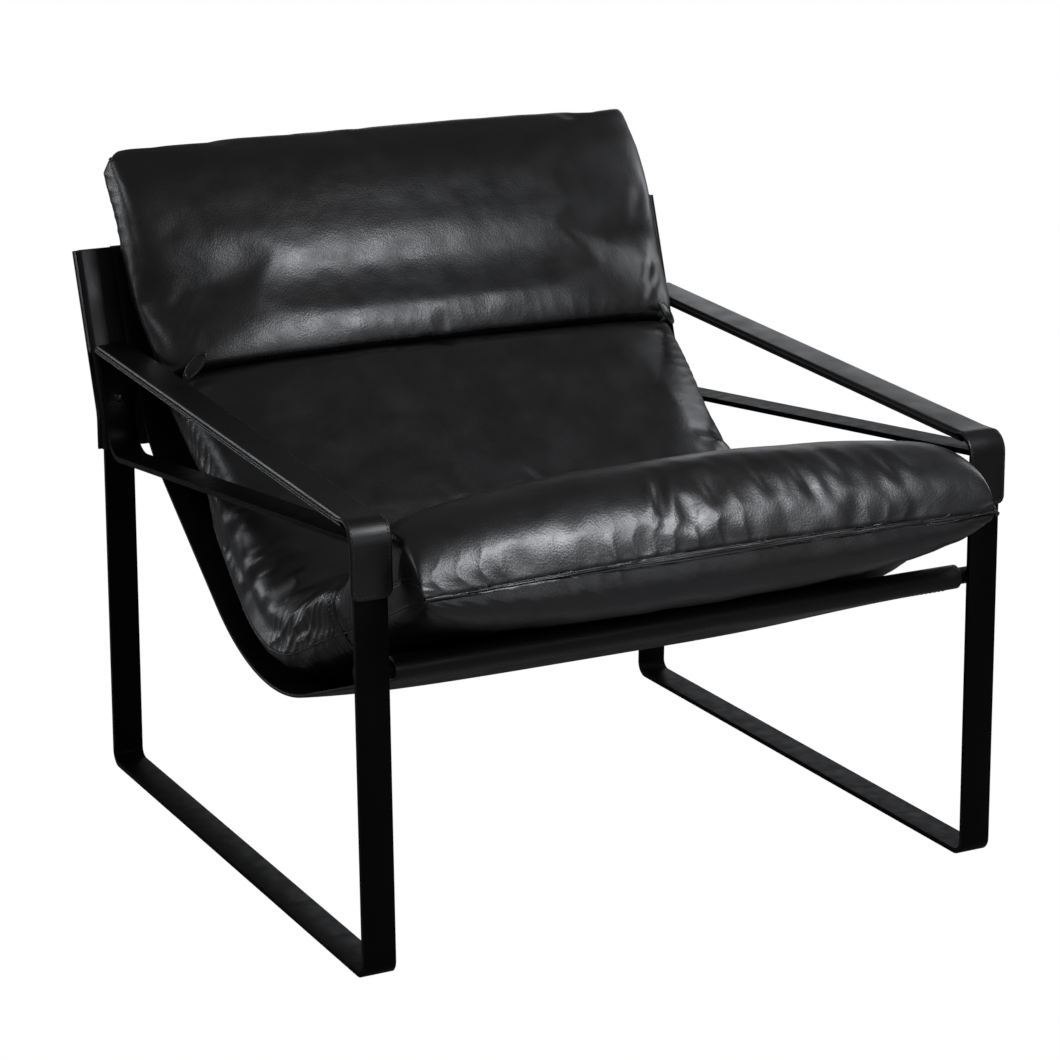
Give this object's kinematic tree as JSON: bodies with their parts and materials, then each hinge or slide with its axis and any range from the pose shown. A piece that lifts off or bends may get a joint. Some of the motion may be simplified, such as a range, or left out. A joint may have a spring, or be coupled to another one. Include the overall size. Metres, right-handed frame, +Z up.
{
  "type": "sling lounge chair",
  "caption": "Low lounge chair with bent flat-bar side frames, leather-wrapped arms, a hung leather sling and a thick channelled leather pad.",
  "frame": {"origin": "on the floor, under the middle of the whole chair", "axes": "+X to the right side of a person who looks at the chair's front (the sitter's left), +Y to the back, +Z up"},
  "size_m": [0.7542, 0.87, 0.7321],
  "materials": {
    "coated_steel": "matte black powder coat",
    "screw_steel": "satin black plated dome head",
    "strap_leather": "black saddle leather, satin",
    "sling_leather": "thick black saddle leather, satin",
    "pad_leather": "soft black upholstery leather, semi-gloss with fine grain"
  },
  "bodies": {
    "root": {"leg_frame_left": "coated_steel", "arm_loop_left": "coated_steel", "arm_strap_top_left": "strap_leather", "arm_strap_under_left": "strap_leather", "arm_screw_left": "screw_steel", "leg_frame_right": "coated_steel", "arm_loop_right": "coated_steel", "arm_strap_top_right": "strap_leather", "arm_strap_under_right": "strap_leather", "arm_screw_right": "screw_steel", "front_cross_tube": "coated_steel", "top_rail": "coated_steel", "leather_sling": "sling_leather", "pad_front_roll": "pad_leather", "pad_seat_and_back": "pad_leather", "pad_head": "pad_leather"}
  },
  "joints": []
}
